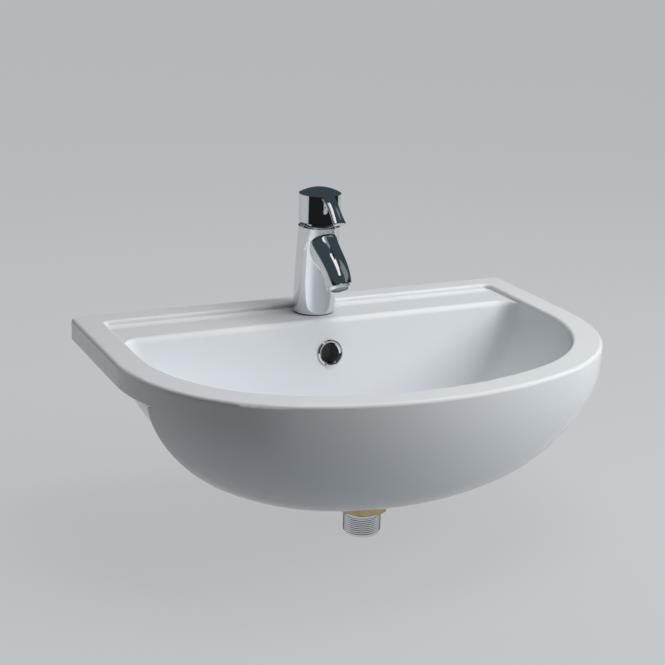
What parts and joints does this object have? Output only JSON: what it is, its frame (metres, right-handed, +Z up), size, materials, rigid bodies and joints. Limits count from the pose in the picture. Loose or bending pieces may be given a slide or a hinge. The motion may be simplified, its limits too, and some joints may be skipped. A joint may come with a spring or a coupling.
{
  "type": "semi recessed basin",
  "caption": "Semi recessed china washbasin: rear rim rests on a worktop, rounded bowl hangs in front; single lever mixer, overflow ring and click waste.",
  "frame": {"origin": "point of the rim's underside on the centre line, 14 mm in front of the back edge, in the worktop plane", "axes": "+X to the right, -Y to the front, +Z up"},
  "size_m": [0.55, 0.38, 0.3621],
  "materials": {
    "china": "glossy white glaze",
    "chrome": "polished chrome plate",
    "brass": "plain turned brass",
    "rubber": "matt black rubber",
    "plastic_white": "matt moulded plastic",
    "plastic_grey": "matt grey plastic",
    "disc_ceramic": "lapped ceramic",
    "steel": "plain steel"
  },
  "bodies": {
    "basin_assembly": {"basin": "china", "overflow_ring": "chrome", "waste_body": "chrome", "waste_flange_seal": "rubber", "waste_lower_washer": "rubber", "waste_backnut": "brass", "waste_click_sleeve": "plastic_white", "waste_spring": "steel", "tap_body": "chrome", "tap_base_seal": "rubber", "aerator_housing": "chrome", "aerator_insert": "plastic_grey", "aerator_seal": "rubber", "cartridge_body": "plastic_white", "cartridge_seals": "rubber", "fixed_disc": "disc_ceramic", "cartridge_nut": "brass", "cover_ring": "chrome", "fixing_stud": "steel", "fixing_gasket": "rubber", "fixing_plate": "steel", "fixing_nut": "brass"},
    "turning_carrier": {"lever_carrier": "plastic_grey", "pivot_pin": "steel"},
    "lever": {"handle": "chrome", "lever_spindle": "steel", "grub_screw": "steel"},
    "disc": {"moving_disc": "disc_ceramic", "disc_driver": "plastic_grey"},
    "plug": {"waste_plug": "chrome", "waste_plug_seal": "rubber", "waste_plunger": "brass"}
  },
  "joints": [
    {"name": "temperature", "type": "hinge", "parent": "basin_assembly", "child": "turning_carrier", "pos_m": [0, -0.043, 0.136], "axis": [0, 0, 1], "range_deg": [-45, 45]},
    {"name": "flow", "type": "hinge", "parent": "turning_carrier", "child": "lever", "pos_m": [0, -0.043, 0.136], "axis": [-1, 0, 0], "range_deg": [0, 20]},
    {"name": "disc_slide", "type": "slide", "parent": "turning_carrier", "child": "disc", "axis": [0, -1, 0], "range_m": [0, 0.006]},
    {"name": "plug_travel", "type": "slide", "parent": "basin_assembly", "child": "plug", "axis": [0, 0, -1], "range_m": [0, 0.009], "deforming": ["waste_spring"]}
  ],
  "couplings": [
    {"joint": "disc_slide", "follows": "flow", "m_per_rad": 0.017}
  ]
}
